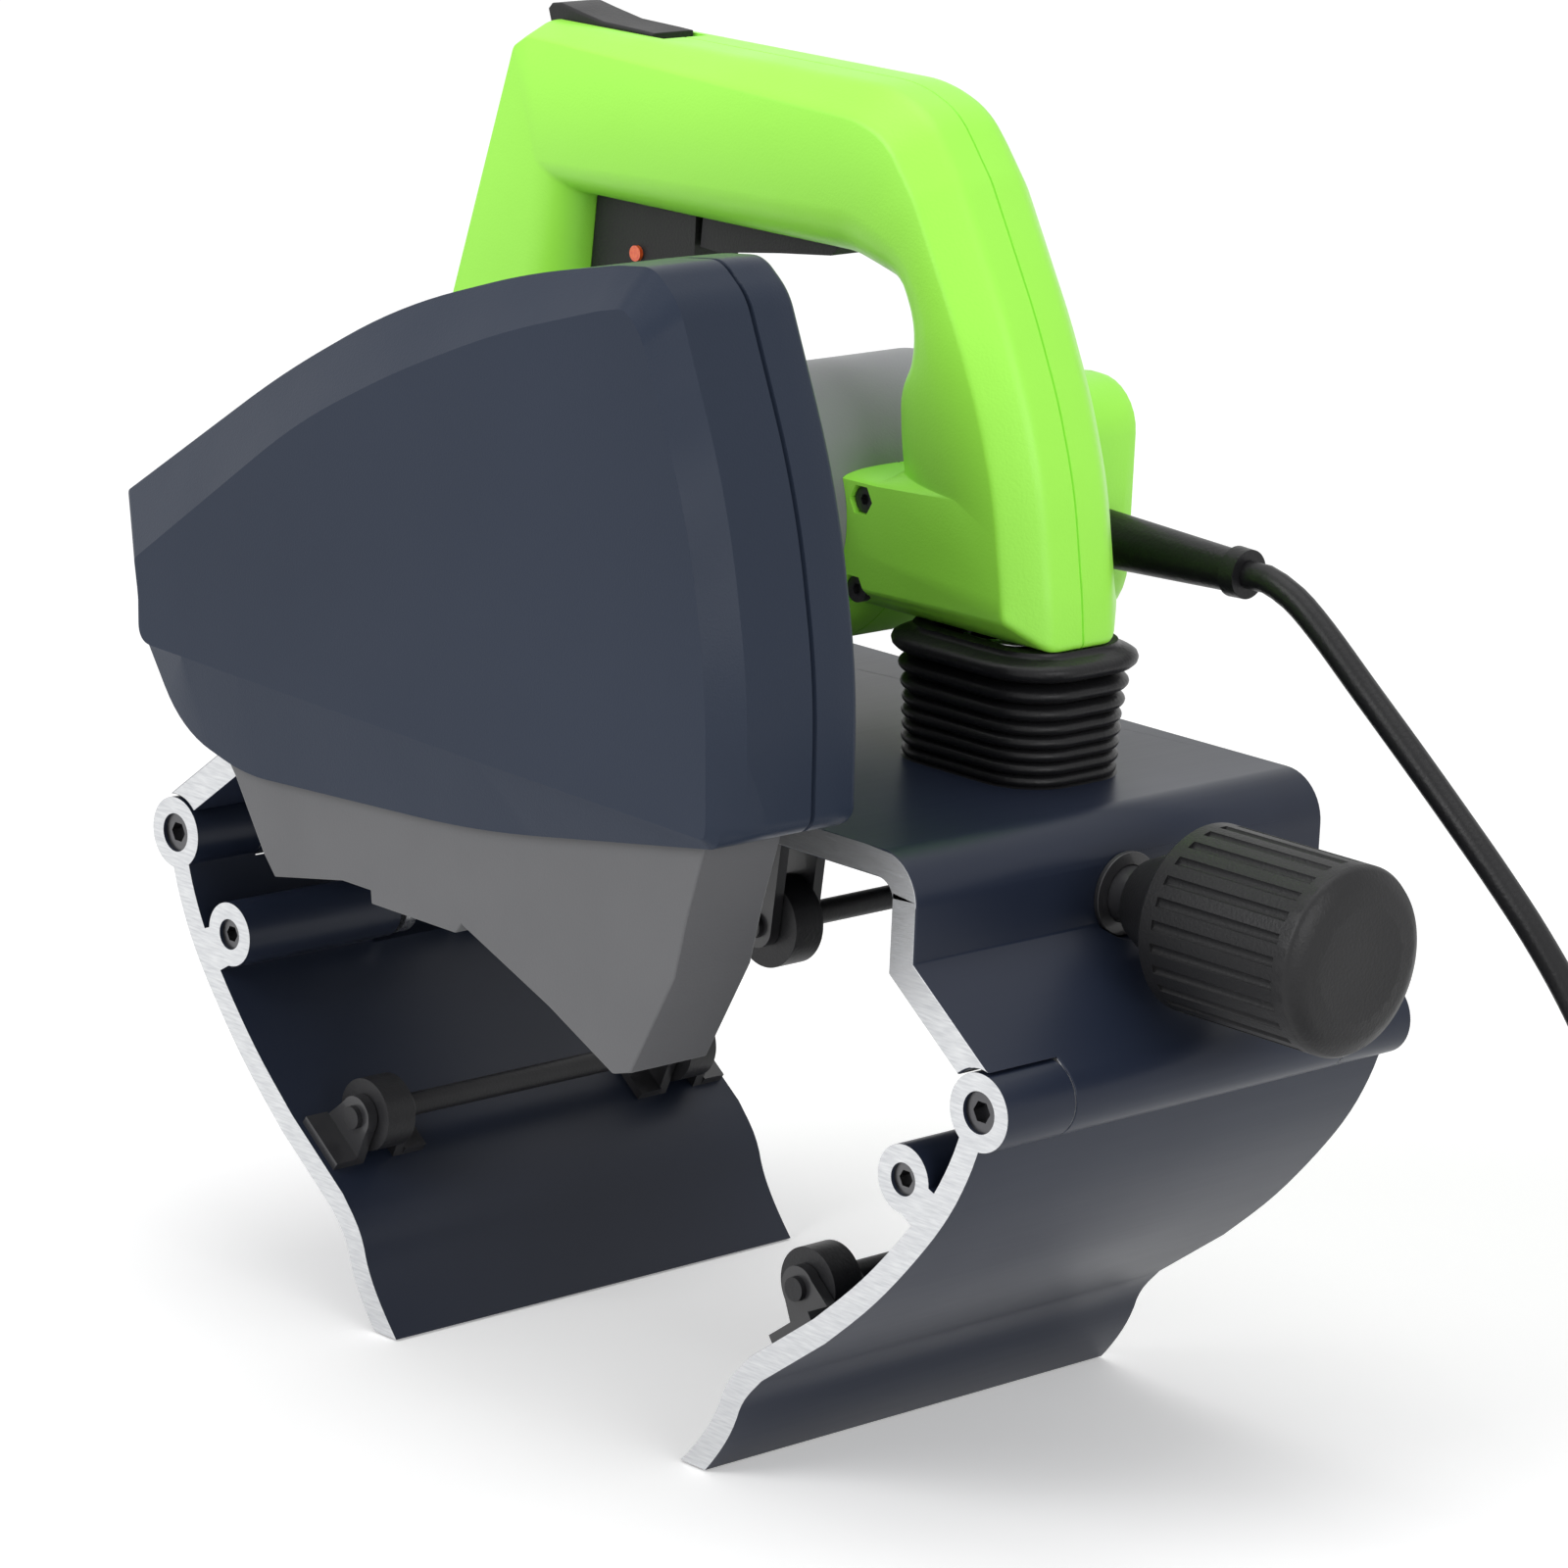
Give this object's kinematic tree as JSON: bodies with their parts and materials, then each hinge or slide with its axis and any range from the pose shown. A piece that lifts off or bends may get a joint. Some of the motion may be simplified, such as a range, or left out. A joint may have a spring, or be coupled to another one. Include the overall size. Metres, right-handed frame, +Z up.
{
  "type": "electric pipe cutter",
  "caption": "Hand-held electric pipe cutter: self-centring clamp frame with a screw knob, hinged saw unit with blade guards, D-handle, bellows and mains lead.",
  "frame": {"origin": "middle of the tool's own box at the height of the jaw tips, mains lead and plug left out", "axes": "+X to the clamp knob, +Y along the pipe away from the saw blade, +Z up"},
  "size_m": [0.57, 0.19, 0.3315],
  "materials": {
    "anodised_aluminium": "dark navy powder coat with bare cut ends, semi-matt",
    "guard_paint": "dark slate blue paint, satin, slightly worn edges",
    "lime_plastic": "lime green glass-filled nylon, satin",
    "black_plastic": "black moulded plastic, fine grain",
    "black_rubber": "black rubber, satin",
    "wheel_plastic": "black nylon",
    "grey_paint": "mid grey paint, satin",
    "motor_grey": "dark blue-grey moulded plastic, satin",
    "steel": "machined steel",
    "black_steel": "black oxide steel",
    "cast_aluminium": "grey die-cast aluminium",
    "blade_steel": "ground steel disc",
    "laminations": "stacked electrical steel",
    "copper": "copper segments",
    "brush_brass": "brass holders with carbon brushes",
    "lamp_red": "translucent red-orange lens"
  },
  "bodies": {
    "frame": {"gripper_frame": "anodised_aluminium", "hinge_pins": "steel", "screw_bushings": "steel", "frame_wheel_brackets": "black_steel", "unit_hinge_bracket": "black_steel", "unit_hinge_bolts": "steel", "unit_hinge_pin": "steel", "bellows": "black_rubber", "return_spring": "steel", "power_cord": "black_rubber", "cord_coil": "black_rubber", "plug": "black_rubber"},
    "knob_screw": {"clamp_screw": "steel", "clamp_knob": "black_plastic"},
    "clamp_nut_left": {"nut_left": "steel"},
    "clamp_nut_right": {"nut_right": "steel"},
    "clamp_link_left": {"link_left": "steel"},
    "clamp_link_right": {"link_right": "steel"},
    "left_jaw": {"jaw_left": "anodised_aluminium", "jaw_pin_left": "steel", "jaw_brackets_left": "black_steel"},
    "right_jaw": {"jaw_right": "anodised_aluminium", "jaw_pin_right": "steel", "jaw_brackets_right": "black_steel"},
    "left_jaw_wheels": {"jaw_wheels_left": "wheel_plastic"},
    "right_jaw_wheels": {"jaw_wheels_right": "wheel_plastic"},
    "left_frame_wheels": {"frame_wheels_left": "wheel_plastic"},
    "right_frame_wheels": {"frame_wheels_right": "wheel_plastic"},
    "motor_unit": {"gear_housing": "cast_aluminium", "motor_housing": "motor_grey", "stator": "laminations", "brush_holders": "brush_brass", "bearings": "steel", "rear_cap": "lime_plastic", "strain_relief": "black_rubber", "handle_front": "lime_plastic", "handle_rear": "lime_plastic", "handle_screws": "black_steel", "unit_hinge_lug": "black_steel", "switch_block": "black_plastic", "indicator_lamp": "lamp_red", "switch_module": "black_plastic", "guard_cover": "guard_paint", "guard_shell": "guard_paint", "guard_screws": "black_steel"},
    "swing_guard": {"lower_guard": "grey_paint"},
    "armature": {"armature_shaft": "steel", "armature_core": "laminations", "commutator": "copper", "fan": "black_plastic"},
    "blade_spindle": {"output_spindle": "steel", "spindle_gear": "steel", "inner_flange": "steel", "saw_blade": "blade_steel", "outer_flange": "steel", "blade_bolt": "black_steel"},
    "trigger_lever": {"trigger": "black_plastic"},
    "slider": {"lock_slider": "black_plastic"},
    "spindle_button": {"spindle_lock_button": "black_plastic"}
  },
  "joints": [
    {"name": "knob_turn", "type": "hinge", "parent": "frame", "child": "knob_screw", "pos_m": [0.1117, 0.024, 0.1485], "axis": [-1, 0, 0], "range_deg": [-254, 1556]},
    {"name": "nut_slide_left", "type": "slide", "parent": "frame", "child": "clamp_nut_left", "axis": [1, 0, 0], "range_m": [-0.0029, 0.0175]},
    {"name": "nut_slide_right", "type": "slide", "parent": "frame", "child": "clamp_nut_right", "axis": [-1, 0, 0], "range_m": [-0.0029, 0.0175]},
    {"name": "link_swing_left", "type": "hinge", "parent": "clamp_nut_left", "child": "clamp_link_left", "pos_m": [-0.09111, 0.024, 0.1485], "axis": [0, 1, 0], "range_deg": [-2, 11]},
    {"name": "link_swing_right", "type": "hinge", "parent": "clamp_nut_right", "child": "clamp_link_right", "pos_m": [0.04851, 0.024, 0.1485], "axis": [0, -1, 0], "range_deg": [-2, 11]},
    {"name": "jaw_swing_left", "type": "hinge", "parent": "frame", "child": "left_jaw", "pos_m": [-0.1693, 0.024, 0.1125], "axis": [0, -1, 0], "range_deg": [-4, 24]},
    {"name": "jaw_swing_right", "type": "hinge", "parent": "frame", "child": "right_jaw", "pos_m": [0.1267, 0.024, 0.1125], "axis": [0, 1, 0], "range_deg": [-4, 24]},
    {"name": "jaw_roll_left", "type": "hinge", "parent": "left_jaw", "child": "left_jaw_wheels", "pos_m": [-0.10402, 0.024, 0.05027], "axis": [0, 1, 0], "continuous": true},
    {"name": "jaw_roll_right", "type": "hinge", "parent": "right_jaw", "child": "right_jaw_wheels", "pos_m": [0.06142, 0.024, 0.05027], "axis": [0, 1, 0], "continuous": true},
    {"name": "frame_roll_left", "type": "hinge", "parent": "frame", "child": "left_frame_wheels", "pos_m": [-0.0593, 0.024, 0.1259], "axis": [0, 1, 0], "continuous": true},
    {"name": "frame_roll_right", "type": "hinge", "parent": "frame", "child": "right_frame_wheels", "pos_m": [0.0167, 0.024, 0.1259], "axis": [0, 1, 0], "continuous": true},
    {"name": "unit_plunge", "type": "hinge", "parent": "frame", "child": "motor_unit", "pos_m": [-0.1263, 0.036, 0.1805], "axis": [0, 1, 0], "range_deg": [0, 6.5], "stiffness_Nm_per_rad": 40, "springref_deg": -11.46, "deforming": ["bellows", "return_spring", "power_cord"]},
    {"name": "guard_swing", "type": "hinge", "parent": "motor_unit", "child": "swing_guard", "pos_m": [-0.1133, -0.078, 0.2005], "axis": [0, 1, 0], "range_deg": [-10, 0], "stiffness_Nm_per_rad": 0.5, "springref_deg": 22.92},
    {"name": "armature_spin", "type": "hinge", "parent": "motor_unit", "child": "armature", "pos_m": [-0.0213, 0.015, 0.2205], "axis": [0, 1, 0], "continuous": true},
    {"name": "spindle_spin", "type": "hinge", "parent": "motor_unit", "child": "blade_spindle", "pos_m": [0.00888, -0.045, 0.20539], "axis": [0, 1, 0], "continuous": true},
    {"name": "trigger_squeeze", "type": "hinge", "parent": "motor_unit", "child": "trigger_lever", "pos_m": [-0.0083, 0.036, 0.2895], "axis": [0, 1, 0], "range_deg": [0, 5], "stiffness_Nm_per_rad": 0.6, "springref_deg": -22.92},
    {"name": "lock_slide", "type": "slide", "parent": "motor_unit", "child": "slider", "axis": [1, 0, 0], "range_m": [0, 0.004], "stiffness_N_per_m": 150, "springref_m": -0.006},
    {"name": "spindle_lock_press", "type": "slide", "parent": "motor_unit", "child": "spindle_button", "axis": [-0.4478, 0, -0.8942], "range_m": [0, 0.0018], "stiffness_N_per_m": 400, "springref_m": -0.002}
  ],
  "couplings": [
    {"joint": "nut_slide_left", "follows": "knob_turn", "m_per_rad": 0.00063662},
    {"joint": "nut_slide_right", "follows": "knob_turn", "m_per_rad": 0.00063662},
    {"joint": "link_swing_left", "follows": "knob_turn", "ratio": 0.0068331},
    {"joint": "link_swing_right", "follows": "knob_turn", "ratio": 0.0068331},
    {"joint": "jaw_swing_left", "follows": "knob_turn", "ratio": 0.015338},
    {"joint": "jaw_swing_right", "follows": "knob_turn", "ratio": 0.015338},
    {"joint": "spindle_spin", "follows": "armature_spin", "ratio": -0.25}
  ]
}
